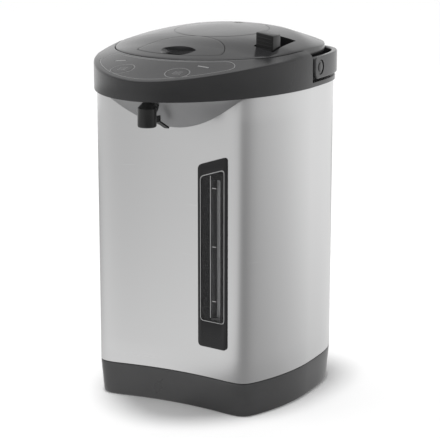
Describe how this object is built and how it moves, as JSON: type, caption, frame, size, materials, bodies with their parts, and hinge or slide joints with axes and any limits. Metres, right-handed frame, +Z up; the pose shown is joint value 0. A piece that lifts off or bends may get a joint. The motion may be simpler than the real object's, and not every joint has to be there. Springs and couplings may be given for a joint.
{
  "type": "electric thermo pot",
  "caption": "Electric thermo pot: brushed steel body, beaked control panel over the spout, round lid with a press plate, level gauge and folding bail handle.",
  "frame": {"origin": "on the floor, below the middle of the whole object's width and depth", "axes": "+Z up, the spout and the beak point towards -Y, +X to the right seen from the front"},
  "size_m": [0.216, 0.2554, 0.3642],
  "materials": {
    "steel_sleeve": "level brushed satin",
    "steel_parts": "satin",
    "dark_plastic": "satin, finely textured",
    "panel_plastic": "semi-gloss",
    "dark_gloss": "gloss",
    "silver_plastic": "silver lacquer",
    "light_plastic": "matt",
    "black_rubber": "matt",
    "silicone": "matt, translucent",
    "valve_rubber": "matt",
    "clear_window": "clear",
    "glass_tube": "clear",
    "lens_plastic": "frosted",
    "wadding": "soft",
    "heater_metal": "cast",
    "mica_band": "satin",
    "pin_metal": "satin",
    "board_green": "solder mask"
  },
  "bodies": {
    "body": {"base_shell": "dark_plastic", "bottom_plate": "dark_plastic", "feet": "black_rubber", "bottom_screws": "steel_parts", "outer_shell": "steel_sleeve", "chin_cover": "silver_plastic", "gauge_panel": "dark_gloss", "gauge_window": "clear_window", "gauge_backing": "dark_plastic", "sight_tube": "glass_tube", "inner_tank": "steel_parts", "tank_gasket": "silicone", "insulation_wrap": "wadding", "heater_plate": "heater_metal", "band_heater": "mica_band", "thermostats": "heater_metal", "pump_pad": "black_rubber", "pump_motor": "steel_parts", "pump_housing": "light_plastic", "impeller_pin": "steel_parts", "inlet_hose": "silicone", "lower_hose": "silicone", "upper_hose": "silicone", "spout_pipe": "dark_plastic", "spout_nozzle": "dark_plastic", "cup_lever_pin": "steel_parts", "cup_switch": "dark_plastic", "collar": "dark_plastic", "tank_deck": "dark_plastic", "control_film": "panel_plastic", "indicator_lenses": "lens_plastic", "control_board": "board_green", "board_screws": "steel_parts", "main_board": "board_green", "power_socket": "dark_plastic", "socket_pins": "pin_metal", "hinge_pin": "steel_parts"},
    "impeller": {"pump_impeller": "light_plastic"},
    "cup_lever": {"cup_lever": "dark_plastic"},
    "reboil_button": {"reboil_button": "panel_plastic"},
    "dispense_button": {"dispense_button": "panel_plastic"},
    "handle": {"handle": "dark_plastic", "handle_pivots": "dark_plastic"},
    "lid": {"lid_cover": "dark_plastic", "lid_liner": "light_plastic", "inner_lid": "steel_parts", "lid_seal": "silicone", "steam_cover": "dark_plastic", "steam_tube": "light_plastic", "air_valve": "valve_rubber", "bellows": "black_rubber", "bellows_spring": "steel_parts", "lever_pin": "steel_parts", "lever_spring": "steel_parts", "liner_screws": "steel_parts"},
    "press": {"press_plate": "dark_plastic"},
    "lever": {"release_lever": "dark_gloss"}
  },
  "joints": [
    {"name": "lid_hinge", "type": "hinge", "parent": "body", "child": "lid", "pos_m": [0, 0.10175, 0.347], "axis": [-1, 0, 0], "range_deg": [0, 85]},
    {"name": "bail_pivot", "type": "hinge", "parent": "body", "child": "handle", "pos_m": [0, 0.03925, 0.327], "axis": [1, 0, 0], "range_deg": [0, 90]},
    {"name": "press_slide", "type": "slide", "parent": "lid", "child": "press", "axis": [0, 0, -1], "range_m": [0, 0.01], "stiffness_N_per_m": 600, "springref_m": -0.004, "deforming": ["bellows", "bellows_spring"]},
    {"name": "release_pivot", "type": "hinge", "parent": "lid", "child": "lever", "pos_m": [0.071, 0.00375, 0.34], "axis": [-1, 0, 0], "range_deg": [0, 22], "stiffness_Nm_per_rad": 0.3, "springref_deg": -11.46},
    {"name": "cup_lever_pivot", "type": "hinge", "parent": "body", "child": "cup_lever", "pos_m": [0, -0.09175, 0.2885], "axis": [1, 0, 0], "range_deg": [0, 6], "stiffness_Nm_per_rad": 0.05, "springref_deg": -17.19},
    {"name": "reboil_press", "type": "slide", "parent": "body", "child": "reboil_button", "axis": [0, 0, -1], "range_m": [0, 0.0008], "stiffness_N_per_m": 500, "springref_m": -0.001},
    {"name": "dispense_press", "type": "slide", "parent": "body", "child": "dispense_button", "axis": [0, 0, -1], "range_m": [0, 0.0008], "stiffness_N_per_m": 500, "springref_m": -0.001},
    {"name": "impeller_spin", "type": "hinge", "parent": "body", "child": "impeller", "pos_m": [0.044, -0.01425, 0.0292], "axis": [0, 0, 1], "continuous": true}
  ]
}
